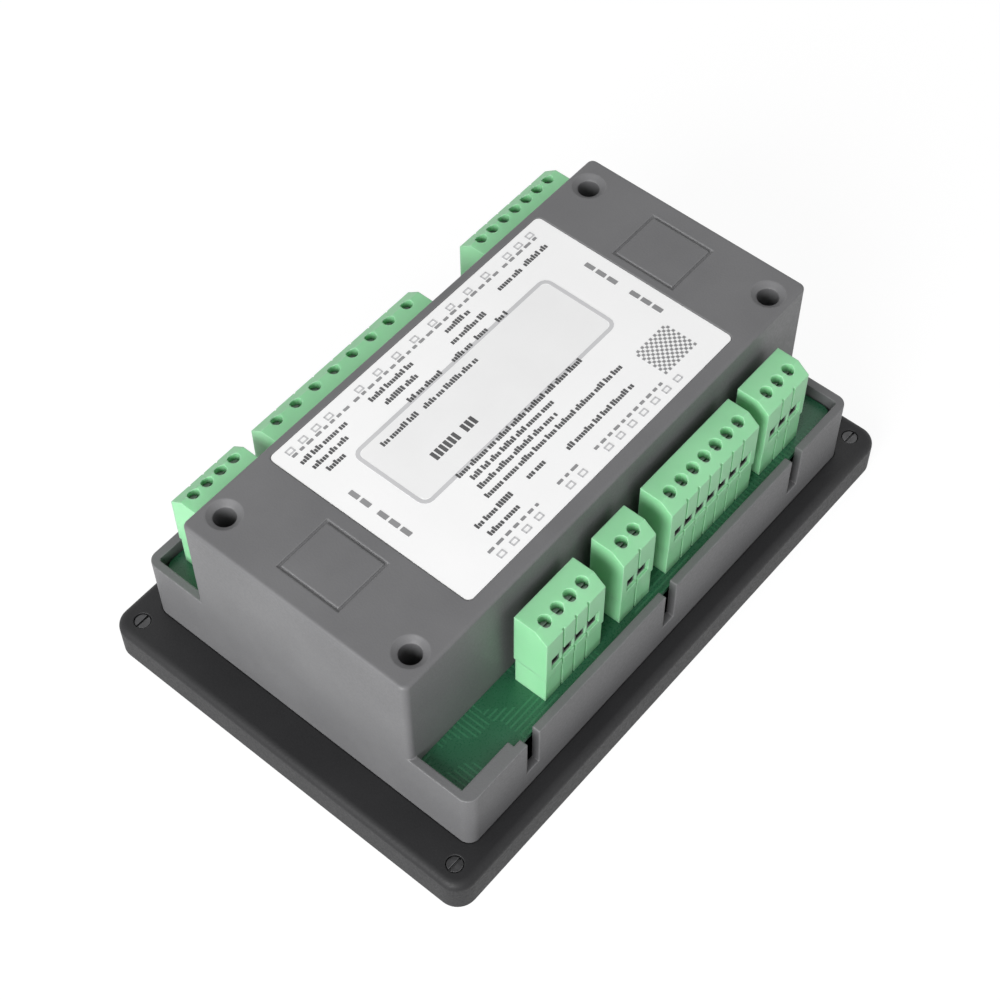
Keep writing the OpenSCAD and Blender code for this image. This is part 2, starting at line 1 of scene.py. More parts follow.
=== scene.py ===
# %% [markdown]
# # A genset controller, lying on its front
# The part is an electronic controller that sits in the cut-out of a panel. It lies on its front rim, so the
# view shows its rear: a grey moulded housing with a label, a black flange, and two channels with rows of
# pull-out screw terminals. The solids come ready made from the CAD frame. This lesson gives them their
# finishes, and adds the printing on the label and on the hidden front, the light and the camera.

# %% Load the frame
import math
import random

import bmesh
import bpy
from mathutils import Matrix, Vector


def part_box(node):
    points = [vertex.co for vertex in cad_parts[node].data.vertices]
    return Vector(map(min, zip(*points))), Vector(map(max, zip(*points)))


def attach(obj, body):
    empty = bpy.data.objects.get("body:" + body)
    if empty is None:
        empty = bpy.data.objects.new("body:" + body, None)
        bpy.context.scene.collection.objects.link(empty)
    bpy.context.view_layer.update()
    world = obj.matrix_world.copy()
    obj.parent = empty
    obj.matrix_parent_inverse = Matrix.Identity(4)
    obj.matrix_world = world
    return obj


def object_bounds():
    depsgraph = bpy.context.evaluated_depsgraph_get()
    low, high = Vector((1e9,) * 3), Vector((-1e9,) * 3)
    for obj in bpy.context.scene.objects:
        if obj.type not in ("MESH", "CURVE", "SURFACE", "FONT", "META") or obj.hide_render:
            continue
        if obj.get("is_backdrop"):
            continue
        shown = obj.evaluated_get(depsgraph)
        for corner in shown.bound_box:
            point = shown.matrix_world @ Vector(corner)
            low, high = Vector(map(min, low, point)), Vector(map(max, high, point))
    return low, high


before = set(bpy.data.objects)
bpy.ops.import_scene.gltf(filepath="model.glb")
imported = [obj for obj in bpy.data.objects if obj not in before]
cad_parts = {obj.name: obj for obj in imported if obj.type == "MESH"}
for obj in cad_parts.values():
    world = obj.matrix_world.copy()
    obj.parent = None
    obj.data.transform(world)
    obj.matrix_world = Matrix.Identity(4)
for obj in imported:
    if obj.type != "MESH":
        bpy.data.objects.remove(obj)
cad_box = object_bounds()
MM = 0.001
bpy.ops.object.select_all(action="DESELECT")

# %% [markdown]
# ## Measures from the frame
# Everything printed lies on a CAD surface, so its height is read from the frame and never typed in. The
# label's sheet is the highest place that carries print. The front faces down: its panel and its keys look
# towards -Z.

# %% Read the heights of the printed surfaces
label_low, label_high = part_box("rear_label")
label_top = label_high.z
panel_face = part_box("front_panel")[0].z
key_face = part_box("key_stop")[0].z
heights = (label_top / MM, panel_face / MM, key_face / MM)
print("label top %.2f mm, panel face %.2f mm, key face %.2f mm" % heights)

# %% [markdown]
# ## The camera
# The photograph looks down on one corner of the rear. The camera takes that angle, and a longish lens keeps
# the edges as nearly parallel as they are there. The small shift moves the picture by a few pixels.

# %% Place the camera
VIEW_AZIMUTH = math.radians(-50.11)
VIEW_ELEVATION = math.radians(55.13)
VIEW_DISTANCE = 0.5969
LOOK_AT = Vector((0.00045, -0.0008, 0.025))
SENSOR_WIDTH = 36
LENS = 74.97
SHIFT_X, SHIFT_Y = -0.0100, 0.0009
back = Vector((
    math.sin(VIEW_AZIMUTH) * math.cos(VIEW_ELEVATION),
    -math.cos(VIEW_AZIMUTH) * math.cos(VIEW_ELEVATION),
    math.sin(VIEW_ELEVATION),
))
bpy.ops.object.camera_add(location=LOOK_AT + back * VIEW_DISTANCE)
camera = bpy.context.object
camera.name = "photo_camera"
camera.rotation_mode = "QUATERNION"
camera.rotation_quaternion = (-back).to_track_quat("-Z", "Y")
camera.data.sensor_width = SENSOR_WIDTH
camera.data.lens = LENS
camera.data.shift_x = SHIFT_X
camera.data.shift_y = SHIFT_Y
bpy.context.scene.camera = camera
print("camera at", [round(c, 3) for c in camera.location])

# %% [markdown]
# ## Light
# A product picture has a white ground and hardly any shadow. A large soft lamp stands low on the left,
# because the end of the housing is its lightest side, and a weaker one fills the long side. The sky is dimmer
# as a light than it looks, so that the lamps still shape the part.

# %% Set the lamps and the sky
SKY_LIGHT = 0.5
SKY_SEEN = 1.0
scene = bpy.context.scene
scene.view_settings.view_transform = "Standard"


def soft_lamp(name, place, size, watts):
    bpy.ops.object.light_add(type="AREA", location=place)
    lamp = bpy.context.object
    lamp.name = name
    lamp.data.shape = "DISK"
    lamp.data.size = size
    lamp.data.energy = watts
    lamp.rotation_mode = "QUATERNION"
    lamp.rotation_quaternion = (LOOK_AT - lamp.location).to_track_quat("-Z", "Y")


def math_node(tree, operation, *values):
    node = tree.nodes.new("ShaderNodeMath")
    node.operation = operation
    for socket, value in zip(node.inputs, values):
        if isinstance(value, bpy.types.NodeSocket):
            tree.links.new(value, socket)
        else:
            socket.default_value = value
    return node.outputs[0]


def seen_share(tree, rays):
    mirrored = math_node(tree, "MAXIMUM", rays["Is Glossy Ray"], rays["Is Transmission Ray"])
    return math_node(tree, "MAXIMUM", rays["Is Camera Ray"], mirrored)


soft_lamp("left_lamp", place=(-1.05, -0.20, 0.50), size=0.9, watts=16.5)
soft_lamp("front_lamp", place=(0.30, -1.00, 0.35), size=0.8, watts=1.1)

world = bpy.data.worlds.new("studio")
scene.world = world
world.use_nodes = True
air = world.node_tree
sky = air.nodes["Background"]
sky.inputs["Color"].default_value = (1, 1, 1, 1)
sky_rays = air.nodes.new("ShaderNodeLightPath").outputs
level = air.nodes.new("ShaderNodeMapRange")
level.inputs["To Min"].default_value = SKY_LIGHT
level.inputs["To Max"].default_value = SKY_SEEN
air.links.new(seen_share(air, sky_rays), level.inputs["Value"])
air.links.new(level.outputs["Result"], sky.inputs["Strength"])
print("light: two lamps and a sky")

# %% [markdown]
# ## Floor
# The floor is grey for the light that it sends back and white for the camera, and it still takes the
# object's shadow. Seen from below it lets the view through, and in the narrow gap under the part it lets the
# sky's light through too, so that the front can be looked at.

# %% Lay the floor
FLOOR_SIZE = 6
FLOOR_DROP = 0.2 * MM
FLOOR_TONE = 0.2
FLOOR_GLOW = 3.0
GLOW_SHARE = 0.3
UNDER_GAP = 8 * MM


def mix_shader(tree, share, first, second):
    mix = tree.nodes.new("ShaderNodeMixShader")
    for socket, given in zip(mix.inputs, (share, first, second)):
        tree.links.new(given, socket)
    return mix.outputs[0]


def white_ground():
    material = bpy.data.materials.new("white_ground")
    material.use_nodes = True
    tree = material.node_tree
    tree.nodes.remove(tree.nodes["Principled BSDF"])
    matt = tree.nodes.new("ShaderNodeBsdfDiffuse")
    matt.inputs["Color"].default_value = (FLOOR_TONE, FLOOR_TONE, FLOOR_TONE, 1)
    glow = tree.nodes.new("ShaderNodeEmission")
    glow.inputs["Strength"].default_value = FLOOR_GLOW
    clear = tree.nodes.new("ShaderNodeBsdfTransparent")
    side = tree.nodes.new("ShaderNodeNewGeometry")
    rays = tree.nodes.new("ShaderNodeLightPath").outputs
    glow_share = math_node(tree, "MULTIPLY", seen_share(tree, rays), GLOW_SHARE)
    lit = mix_shader(tree, glow_share, matt.outputs[0], glow.outputs[0])
    close = math_node(tree, "LESS_THAN", rays["Ray Length"], UNDER_GAP)
    under = math_node(tree, "MULTIPLY", rays["Is Diffuse Ray"], close)
    see_through = math_node(tree, "MAXIMUM", side.outputs["Backfacing"], under)
    sided = mix_shader(tree, see_through, lit, clear.outputs[0])
    tree.links.new(sided, tree.nodes["Material Output"].inputs["Surface"])
    return material


bpy.ops.mesh.primitive_plane_add(size=FLOOR_SIZE, location=(0, 0, -FLOOR_DROP))
floor = bpy.context.object
floor.name = "studio_floor"
floor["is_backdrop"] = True
floor.data.materials.append(white_ground())
print("floor:", floor.name)

# %% [markdown]
# ## Two effects that many finishes share
# Moulded plastic is never one flat colour. The mould is spark-eroded, which leaves a fine grain, and the
# pigment clouds a little. Every moulded edge is also slightly round and catches the light, and it is painted
# paler: partly edge wear, partly a painted highlight.
# Each effect is a node group, built once and used with other values in each finish.

# %% Build the shared groups
GRAIN_DETAIL = 2.0
CLOUD_DETAIL = 4.0
EDGE_SAMPLES = 6
EDGE_FLAT, EDGE_TURNED = 1.0, 0.80


def new_group(name, inputs, outputs):
    group = bpy.data.node_groups.new(name, "ShaderNodeTree")
    for label in inputs:
        group.interface.new_socket(label, in_out="INPUT", socket_type="NodeSocketFloat")
    for label, kind in outputs:
        group.interface.new_socket(label, in_out="OUTPUT", socket_type=kind)
    return group, group.nodes.new("NodeGroupInput"), group.nodes.new("NodeGroupOutput")


def build_mould_grain():
    group, given, made = new_group(
        "mould_grain",
        ["Grain Scale", "Cloud Scale"],
        [("Grain", "NodeSocketFloat"), ("Cloud", "NodeSocketFloat")],
    )
    place = group.nodes.new("ShaderNodeTexCoord")
    for label, detail in (("Grain", GRAIN_DETAIL), ("Cloud", CLOUD_DETAIL)):
        noise = group.nodes.new("ShaderNodeTexNoise")
        noise.inputs["Detail"].default_value = detail
        group.links.new(place.outputs["Object"], noise.inputs["Vector"])
        group.links.new(given.outputs[label + " Scale"], noise.inputs["Scale"])
        group.links.new(noise.outputs["Fac"], made.inputs[label])
    return group


def build_soft_edge():
    group, given, made = new_group(
        "soft_edge",
        ["Radius"],
        [("Edge", "NodeSocketFloat"), ("Normal", "NodeSocketVector")],
    )
    bevel = group.nodes.new("ShaderNodeBevel")
    bevel.samples = EDGE_SAMPLES
    surface = group.nodes.new("ShaderNodeNewGeometry")
    agree = group.nodes.new("ShaderNodeVectorMath")
    agree.operation = "DOT_PRODUCT"
    turned = group.nodes.new("ShaderNodeMapRange")
    turned.inputs["From Min"].default_value = EDGE_FLAT
    turned.inputs["From Max"].default_value = EDGE_TURNED
    group.links.new(given.outputs["Radius"], bevel.inputs["Radius"])
    group.links.new(bevel.outputs["Normal"], agree.inputs[0])
    group.links.new(surface.outputs["Normal"], agree.inputs[1])
    group.links.new(agree.outputs["Value"], turned.inputs["Value"])
    group.links.new(turned.outputs["Result"], made.inputs["Edge"])
    group.links.new(bevel.outputs["Normal"], made.inputs["Normal"])
    return group


mould_grain = build_mould_grain()
soft_edge = build_soft_edge()
print("groups:", mould_grain.name, "and", soft_edge.name)

# %% [markdown]
# ## Steps of a finish
# Each finish takes the same few steps: start a material, place the groups in it, mix two tones by the cloud,
# let a pattern set the roughness, and let a pattern raise the surface a little. Noise stays near the middle
# of its range, so it is spread out before it is used. A mix node has sockets of several kinds under the same
# names, so the ones for colour are taken by number.

# %% Tools for finishes
MIX_SHARE, MIX_LOW, MIX_HIGH = 0, 6, 7
MIX_COLOUR = 2
NOISE_LOW, NOISE_HIGH = 0.3, 0.7


def start_material(name):
    material = bpy.data.materials.new(name)
    material.use_nodes = True
    return material, material.node_tree, material.node_tree.nodes["Principled BSDF"]


def place_group(tree, group, **values):
    node = tree.nodes.new("ShaderNodeGroup")
    node.node_tree = group
    for label, value in values.items():
        node.inputs[label.replace("_", " ")].default_value = value
    return node


def tone_mix(tree, share, low, high):
    mix = tree.nodes.new("ShaderNodeMix")
    mix.data_type = "RGBA"
    tree.links.new(share, mix.inputs[MIX_SHARE])
    for socket, tone in ((mix.inputs[MIX_LOW], low), (mix.inputs[MIX_HIGH], high)):
        if isinstance(tone, tuple):
            socket.default_value = (*tone, 1)
        else:
            tree.links.new(tone, socket)
    return mix.outputs[MIX_COLOUR]


def value_range(tree, value, low, high, from_low=NOISE_LOW, from_high=NOISE_HIGH):
    spread = tree.nodes.new("ShaderNodeMapRange")
    spread.inputs["From Min"].default_value = from_low
    spread.inputs["From Max"].default_value = from_high
    spread.inputs["To Min"].default_value = low
    spread.inputs["To Max"].default_value = high
    tree.links.new(value, spread.inputs["Value"])
    return spread.outputs["Result"]


def clouded(tree, grain, low, high):
    return tone_mix(tree, value_range(tree, grain.outputs["Cloud"], 0, 1), low, high)


def set_roughness(tree, shader, pattern, low, high):
    tree.links.new(value_range(tree, pattern, low, high), shader.inputs["Roughness"])


def add_bump(tree, shader, pattern, strength, depth, normal=None):
    bump = tree.nodes.new("ShaderNodeBump")
    bump.inputs["Strength"].default_value = strength
    bump.inputs["Distance"].default_value = depth
    tree.links.new(pattern, bump.inputs["Height"])
    if normal is not None:
        tree.links.new(normal, bump.inputs["Normal"])
    tree.links.new(bump.outputs["Normal"], shader.inputs["Normal"])


print("finishing tools ready")

# %% [markdown]
# ## Moulded plastics
# One recipe serves all the mouldings. Two tones are mixed by the cloud, a paler tone shows along the edges
# (partly edge wear, partly a painted highlight), the grain feeds the roughness and a bump, and the bump
# starts from the softened normal. The green of the terminals also lets a little light into its depth.

# %% Mix the moulded plastics
FINE_GRAIN = 1600
SMOOTH_GRAIN = 2600
GRAIN_DEPTH = 0.12 * MM
GRAIN_BUMP = 0.35
PIGMENT_CLOUD = 45
# Share of the paler edge tone: partly edge wear, partly a painted highlight.
EDGE_WEAR_AND_HIGHLIGHT = 0.5
DEPTH_COLOUR = (0.6, 1.0, 0.7)
DEPTH_REACH = 3 * MM


def moulded(
    name, tones, rubbed_and_highlight, grain_scale, grain_depth, roughness, edge_radius, shine=0.5, depth_light=0.0,
):
    material, tree, shader = start_material(name)
    shader.inputs["Specular IOR Level"].default_value = shine
    shader.inputs["Subsurface Weight"].default_value = depth_light
    shader.inputs["Subsurface Radius"].default_value = DEPTH_COLOUR
    shader.inputs["Subsurface Scale"].default_value = DEPTH_REACH
    grain = place_group(tree, mould_grain, Grain_Scale=grain_scale, Cloud_Scale=PIGMENT_CLOUD)
    edge = place_group(tree, soft_edge, Radius=edge_radius)
    # Paler tone along the edges: partly edge wear, partly a painted highlight.
    edge_wear_and_highlight = math_node(tree, "MULTIPLY", edge.outputs["Edge"], EDGE_WEAR_AND_HIGHLIGHT)
    colour = tone_mix(tree, edge_wear_and_highlight, clouded(tree, grain, *tones), rubbed_and_highlight)
    tree.links.new(colour, shader.inputs["Base Color"])
    set_roughness(tree, shader, grain.outputs["Grain"], *roughness)
    add_bump(tree, shader, grain.outputs["Grain"], GRAIN_BUMP, grain_depth, edge.outputs["Normal"])
    return material


housing_grey = moulded(
    "housing_grey", tones=((0.128, 0.128, 0.132), (0.150, 0.150, 0.154)), rubbed_and_highlight=(0.30, 0.30, 0.305),
    grain_scale=FINE_GRAIN, grain_depth=GRAIN_DEPTH, roughness=(0.42, 0.56), edge_radius=0.7 * MM,
)
bezel_black = moulded(
    "bezel_black", tones=((0.009, 0.009, 0.010), (0.014, 0.014, 0.015)), rubbed_and_highlight=(0.045, 0.045, 0.047),
    grain_scale=FINE_GRAIN, grain_depth=GRAIN_DEPTH, roughness=(0.48, 0.62), edge_radius=0.6 * MM,
    shine=0.35,
)
panel_black = moulded(
    "panel_black", tones=((0.020, 0.020, 0.023), (0.028, 0.028, 0.031)), rubbed_and_highlight=(0.06, 0.06, 0.065),
    grain_scale=SMOOTH_GRAIN, grain_depth=GRAIN_DEPTH, roughness=(0.45, 0.58), edge_radius=0.3 * MM,
)
terminal_green = moulded(
    "terminal_green", tones=((0.27, 0.64, 0.34), (0.32, 0.71, 0.39)), rubbed_and_highlight=(0.48, 0.80, 0.53),
    grain_scale=SMOOTH_GRAIN, grain_depth=GRAIN_DEPTH / 2, roughness=(0.34, 0.46), edge_radius=0.35 * MM,
    depth_light=0.3,
)
part_black = moulded(
    "part_black", tones=((0.014, 0.014, 0.014), (0.022, 0.022, 0.022)), rubbed_and_highlight=(0.05, 0.05, 0.05),
    grain_scale=SMOOTH_GRAIN, grain_depth=GRAIN_DEPTH / 2, roughness=(0.38, 0.5), edge_radius=0.3 * MM,
)
relay_blue = moulded(
    "relay_blue", tones=((0.01, 0.05, 0.18), (0.014, 0.065, 0.22)), rubbed_and_highlight=(0.06, 0.14, 0.32),
    grain_scale=SMOOTH_GRAIN, grain_depth=GRAIN_DEPTH / 3, roughness=(0.22, 0.32), edge_radius=0.4 * MM,
)
coil_grey = moulded(
    "coil_grey", tones=((0.045, 0.045, 0.05), (0.065, 0.065, 0.07)), rubbed_and_highlight=(0.12, 0.12, 0.13),
    grain_scale=FINE_GRAIN, grain_depth=GRAIN_DEPTH, roughness=(0.5, 0.64), edge_radius=0.4 * MM,
)
key_red = moulded(
    "key_red", tones=((0.34, 0.018, 0.014), (0.40, 0.025, 0.018)), rubbed_and_highlight=(0.58, 0.10, 0.08),
    grain_scale=SMOOTH_GRAIN, grain_depth=GRAIN_DEPTH / 2, roughness=(0.4, 0.52), edge_radius=0.4 * MM,
)
key_green = moulded(
    "key_green", tones=((0.016, 0.20, 0.055), (0.022, 0.25, 0.07)), rubbed_and_highlight=(0.09, 0.40, 0.15),
    grain_scale=SMOOTH_GRAIN, grain_depth=GRAIN_DEPTH / 2, roughness=(0.4, 0.52), edge_radius=0.4 * MM,
)
key_grey = moulded(
    "key_grey", tones=((0.075, 0.075, 0.08), (0.095, 0.095, 0.10)), rubbed_and_highlight=(0.19, 0.19, 0.2),
    grain_scale=SMOOTH_GRAIN, grain_depth=GRAIN_DEPTH / 2, roughness=(0.4, 0.52), edge_radius=0.4 * MM,
)
seal_rubber = moulded(
    "seal_rubber", tones=((0.010, 0.010, 0.010), (0.016, 0.016, 0.016)), rubbed_and_highlight=(0.03, 0.03, 0.03),
    grain_scale=FINE_GRAIN, grain_depth=GRAIN_DEPTH * 2, roughness=(0.66, 0.8), edge_radius=0.2 * MM,
)
print("moulded plastics: 11")

# %% [markdown]
# ## Metal parts
# Screws and pins are zinc plated steel, bright or gone dull; the dull tone of the terminal screws is also a
# painted shade of their deep holes. The corner screws and the clamps are darkened, and on the clamps, deep in
# the wire entries, the dark tone is a painted shade. The spacers are turned brass. Plating has tiny scratches
# and a cloudy shine, so the cloud drives the roughness over a wide range, and the edges are painted brighter:
# partly edge wear, partly a painted highlight.

# %% Mix the metals
PLATE_GRAIN = 2200
PLATE_CLOUD = 420
PLATE_EDGE = 0.25 * MM
SCRATCH_BUMP = 0.2
SCRATCH_DEPTH = 0.05 * MM


def plated(name, tones, rubbed_and_highlight, roughness):
    material, tree, shader = start_material(name)
    shader.inputs["Metallic"].default_value = 1.0
    grain = place_group(tree, mould_grain, Grain_Scale=PLATE_GRAIN, Cloud_Scale=PLATE_CLOUD)
    edge = place_group(tree, soft_edge, Radius=PLATE_EDGE)
    # Brighter tone along the edges: partly edge wear, partly a painted highlight.
    colour = tone_mix(tree, edge.outputs["Edge"], clouded(tree, grain, *tones), rubbed_and_highlight)
    tree.links.new(colour, shader.inputs["Base Color"])
    set_roughness(tree, shader, grain.outputs["Cloud"], *roughness)
    add_bump(tree, shader, grain.outputs["Grain"], SCRATCH_BUMP, SCRATCH_DEPTH, edge.outputs["Normal"])
    return material


# Dark steel: the corner screws' dark tone, and on the clamps a painted shade inside the wire entries.
dark_steel = plated(
    "dark_steel", tones=((0.07, 0.07, 0.072), (0.11, 0.11, 0.113)), rubbed_and_highlight=(0.22, 0.22, 0.225),
    roughness=(0.34, 0.52),
)
# Dull steel for the terminal screws, darkened partly as a painted shade of their deep holes.
dull_steel_and_shade = plated(
    "dull_steel_and_shade", tones=((0.20, 0.20, 0.205), (0.30, 0.30, 0.305)), rubbed_and_highlight=(0.46, 0.46, 0.465),
    roughness=(0.36, 0.54),
)
zinc_steel = plated(
    "zinc_steel", tones=((0.40, 0.40, 0.41), (0.56, 0.56, 0.57)), rubbed_and_highlight=(0.72, 0.72, 0.73),
    roughness=(0.26, 0.44),
)
turned_brass = plated(
    "turned_brass", tones=((0.52, 0.36, 0.12), (0.64, 0.46, 0.18)), rubbed_and_highlight=(0.8, 0.62, 0.3),
    roughness=(0.2, 0.36),
)
print("metals: 4")

# %% [markdown]
# ## The circuit boards
# Solder mask is a thin, glossy green varnish over copper tracks. The tracks show as slightly paler, slightly
# raised lines that run in blocks, some along the board and some across it. A cell pattern with square
# cells picks the direction of each block, and two stripe patterns draw the lines. Some blocks stay empty.

# %% Mix the solder mask
HALF_TURN = 0.5
LINE_FROM, LINE_TO = 0.30, 0.36
ACROSS_ABOVE = 0.5
EMPTY_BELOW = 0.35
PICK_SHARE, PICK_FIRST, PICK_SECOND = 0, 2, 3


def build_tracks():
    group, given, made = new_group(
        "board_tracks", ["Block Scale", "Track Pitch"], [("Tracks", "NodeSocketFloat")])
    place = group.nodes.new("ShaderNodeTexCoord").outputs["Object"]
    cells = group.nodes.new("ShaderNodeTexVoronoi")
    cells.voronoi_dimensions = "2D"
    cells.distance = "CHEBYCHEV"
    group.links.new(place, cells.inputs["Vector"])
    group.links.new(given.outputs["Block Scale"], cells.inputs["Scale"])
    pick = group.nodes.new("ShaderNodeSeparateColor")
    group.links.new(cells.outputs["Color"], pick.inputs["Color"])
    axes = group.nodes.new("ShaderNodeSeparateXYZ")
    group.links.new(place, axes.inputs["Vector"])
    lines = []
    for axis in ("X", "Y"):
        turns = math_node(group, "DIVIDE", axes.outputs[axis], given.outputs["Track Pitch"])
        wave = math_node(group, "PINGPONG", turns, HALF_TURN)
        lines.append(value_range(group, wave, 0, 1, LINE_FROM, LINE_TO))
    across = math_node(group, "GREATER_THAN", pick.outputs["Red"], ACROSS_ABOVE)
    chosen = group.nodes.new("ShaderNodeMix")
    group.links.new(across, chosen.inputs[PICK_SHARE])
    group.links.new(lines[0], chosen.inputs[PICK_FIRST])
    group.links.new(lines[1], chosen.inputs[PICK_SECOND])
    filled = math_node(group, "GREATER_THAN", pick.outputs["Green"], EMPTY_BELOW)
    shown = math_node(group, "MULTIPLY", chosen.outputs[0], filled)
    group.links.new(shown, made.inputs["Tracks"])
    return group


def solder_mask():
    material, tree, shader = start_material("solder_mask")
    tracks = place_group(tree, board_tracks, Block_Scale=85, Track_Pitch=1.6 * MM)
    grain = place_group(tree, mould_grain, Grain_Scale=1800, Cloud_Scale=70)
    varnish = clouded(tree, grain, (0.018, 0.100, 0.048), (0.024, 0.122, 0.062))
    colour = tone_mix(tree, tracks.outputs["Tracks"], varnish, (0.036, 0.165, 0.082))
    tree.links.new(colour, shader.inputs["Base Color"])
    set_roughness(tree, shader, grain.outputs["Grain"], 0.24, 0.36)
    add_bump(tree, shader, tracks.outputs["Tracks"], strength=0.4, depth=0.06 * MM)
    return material


board_tracks = build_tracks()
board_green = solder_mask()
print("boards:", board_green.name)

# %% [markdown]
# ## The label, the display, the lens and the lights
# The label is a white plastic film with a faint satin shine, and each ink is a thin film too. The display
# behind its lens is a dull grey-green glass with blocks of fine lines. The lens is clear plastic, and the
# indicator lights are milky.

# %% Mix the label film, the inks, the display, the lens and the lights
CLEAR_IOR = 1.49


def film(name, tones, roughness):
    material, tree, shader = start_material(name)
    grain = place_group(tree, mould_grain, Grain_Scale=900, Cloud_Scale=60)
    tree.links.new(clouded(tree, grain, *tones), shader.inputs["Base Color"])
    set_roughness(tree, shader, grain.outputs["Grain"], *roughness)
    add_bump(tree, shader, grain.outputs["Grain"], strength=0.08, depth=0.1 * MM)
    return material


def display_glass():
    material, tree, shader = start_material("display_glass")
    lines = place_group(tree, board_tracks, Block_Scale=12, Track_Pitch=0.6 * MM)
    grain = place_group(tree, mould_grain, Grain_Scale=400, Cloud_Scale=25)
    glass = clouded(tree, grain, (0.15, 0.19, 0.13), (0.18, 0.22, 0.15))
    colour = tone_mix(tree, lines.outputs["Tracks"], glass, (0.13, 0.165, 0.11))
    tree.links.new(colour, shader.inputs["Base Color"])
    set_roughness(tree, shader, grain.outputs["Grain"], 0.3, 0.4)
    return material


def clear_plastic(name, tones, roughness):
    material, tree, shader = start_material(name)
    shader.inputs["Transmission Weight"].default_value = 1.0
    shader.inputs["IOR"].default_value = CLEAR_IOR
    grain = place_group(tree, mould_grain, Grain_Scale=300, Cloud_Scale=40)
    tree.links.new(tone_mix(tree, grain.outputs["Cloud"], *tones), shader.inputs["Base Color"])
    set_roughness(tree, shader, grain.outputs["Grain"], *roughness)
    return material


label_white = film("label_white", ((0.945, 0.945, 0.945), (0.965, 0.965, 0.965)), (0.38, 0.5))
ink_dark = film("ink_dark", ((0.065, 0.065, 0.067), (0.095, 0.095, 0.097)), (0.4, 0.52))
ink_grey = film("ink_grey", ((0.24, 0.24, 0.245), (0.30, 0.30, 0.305)), (0.4, 0.52))
ink_faint = film("ink_faint", ((0.87, 0.87, 0.87), (0.90, 0.90, 0.90)), (0.4, 0.52))
ink_pale = film("ink_pale", ((0.56, 0.56, 0.57), (0.62, 0.62, 0.63)), (0.4, 0.52))
ink_white = film("ink_white", ((0.74, 0.74, 0.74), (0.80, 0.80, 0.80)), (0.42, 0.54))
sleeve_dark = film("sleeve_dark", ((0.012, 0.012, 0.02), (0.018, 0.018, 0.03)), (0.2, 0.32))
light_milky = film("light_milky", ((0.60, 0.60, 0.55), (0.68, 0.68, 0.63)), (0.18, 0.30))
lcd_face = display_glass()
lens_clear = clear_plastic("lens_clear", ((0.86, 0.90, 0.89), (0.95, 0.97, 0.96)), (0.03, 0.09))
print("films: 8, with", lcd_face.name, "and", lens_clear.name)

# %% [markdown]
# ## Finish on each solid
# Every node of the frame takes one finish. The terminals repeat, so their names are put together from the
# names of the rows.

# %% Give the nodes their finishes
ROWS = ("near_1", "near_2", "near_3", "near_4", "far_1", "far_2", "far_3")


def finish_nodes(material, *names):
    for name in names:
        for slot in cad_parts[name].material_slots:
            slot.material = material


finish_nodes(housing_grey, "rear_housing")
finish_nodes(label_white, "rear_label")
finish_nodes(bezel_black, "front_bezel")
finish_nodes(seal_rubber, "front_seal")
finish_nodes(panel_black, "front_panel")
finish_nodes(lens_clear, "display_lens")
finish_nodes(lcd_face, "lcd_module")
finish_nodes(board_green, "main_board", "display_board")
finish_nodes(part_black, "key_switches", "board_link", "processor")
finish_nodes(light_milky, "indicator_lights")
finish_nodes(turned_brass, "board_spacers")
finish_nodes(zinc_steel, "board_screws", "case_screws", "contact_pins")
# The clamps take the dark steel as a painted shade inside the wire entries.
finish_nodes(dark_steel, "corner_screws", *["clamps_" + r for r in ROWS])
finish_nodes(relay_blue, "relays")
finish_nodes(sleeve_dark, "capacitors")
finish_nodes(coil_grey, "current_transformers")
finish_nodes(key_red, "key_stop")
finish_nodes(key_green, "key_start")
finish_nodes(key_grey, "key_manual", "key_auto", "key_menu", "key_up", "key_down")
finish_nodes(terminal_green, *["header_" + r for r in ROWS], *["plug_" + r for r in ROWS])
# The terminal screws' darker tone is partly a painted shade of their deep holes.
finish_nodes(dull_steel_and_shade, *["screws_" + r for r in ROWS])
print("finished", len(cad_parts), "nodes")

# %% [markdown]
# ## Printing, as thin plates
# Ink is a thin layer that stands on its film and is sunk into it a little. Each printed field starts as a
# primitive and is shaped in edit mode: a bar is a cube whose upright edges are rounded, and an outline is a
# plane or a circle that is rounded, inset, opened and pulled up. What repeats is modelled once and copied.
# Bars stand for lines of print, so that nothing on the part can be read.

# %% Tools for printed fields
INK = 0.05 * MM
SINK = 0.02 * MM
BAR_SEGMENTS = 2
OUTLINE_SEGMENTS = 4


def select_upright(piece):
    mesh = bmesh.from_edit_mesh(piece.data)
    for part in (mesh.verts, mesh.edges, mesh.faces):
        for item in part:
            item.select_set(False)
    for edge in mesh.edges:
        if abs(edge.verts[0].co.z - edge.verts[1].co.z) > SINK:
            edge.select_set(True)
    bmesh.update_edit_mesh(piece.data)


def settle(piece):
    bpy.ops.object.mode_set(mode="OBJECT")
    bpy.ops.object.transform_apply(location=True, rotation=True, scale=True)
    return piece


def pull_up():
    bpy.ops.mesh.select_all(action="SELECT")
    bpy.ops.mesh.extrude_region_move(TRANSFORM_OT_translate={"value": (0, 0, INK + SINK)})
    bpy.ops.mesh.select_all(action="SELECT")
    bpy.ops.mesh.normals_make_consistent(inside=False)


def printed_bar(x, y, z, length, width, corner):
    bpy.ops.object.select_all(action="DESELECT")
    bpy.ops.mesh.primitive_cube_add(size=1, location=(x, y, z))
    bar = bpy.context.object
    bpy.ops.object.mode_set(mode="EDIT")
    bpy.ops.transform.resize(value=(length, width, INK + SINK))
    select_upright(bar)
    bpy.ops.mesh.bevel(offset=corner, segments=BAR_SEGMENTS)
    return settle(bar)


